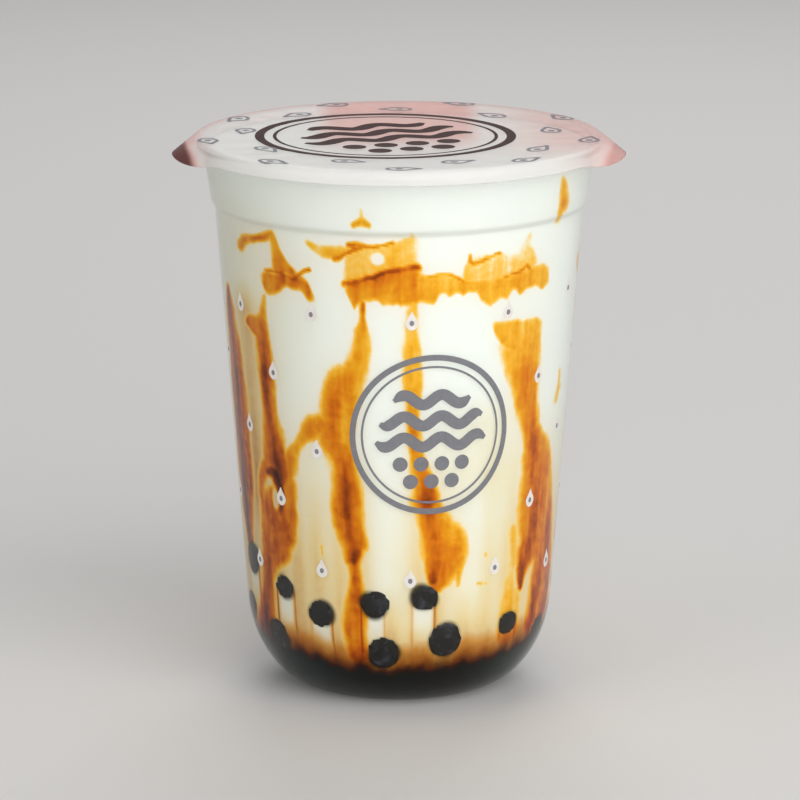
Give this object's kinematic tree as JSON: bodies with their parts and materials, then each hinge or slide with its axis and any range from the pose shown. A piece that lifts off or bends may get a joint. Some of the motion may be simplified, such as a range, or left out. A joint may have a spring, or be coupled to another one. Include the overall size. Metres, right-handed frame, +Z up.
{
  "type": "bubble tea in a sealed cup",
  "caption": "Milk bubble tea with syrup streaks and tapioca pearls in a clear round-bottomed takeaway cup closed with sealing film.",
  "frame": {"origin": "middle of the face under the foot ring", "axes": "+Z up along the cup's axis, front of the drink towards -Y, the film's two pull tabs along X"},
  "size_m": [0.1006, 0.0924, 0.1248],
  "materials": {
    "clear_cup": "clear moulded polypropylene, glossy",
    "printed_film": "thin translucent sealing film, glossy",
    "milk_tea": "opaque milk tea against the cup's wall",
    "tapioca_pearl": "wet glossy tapioca",
    "brown_sugar_syrup": "thick dark syrup"
  },
  "bodies": {
    "root": {"cup": "clear_cup", "seal_film": "printed_film", "milk_tea": "milk_tea", "pearls": "tapioca_pearl", "brown_sugar_syrup": "brown_sugar_syrup"}
  },
  "joints": []
}
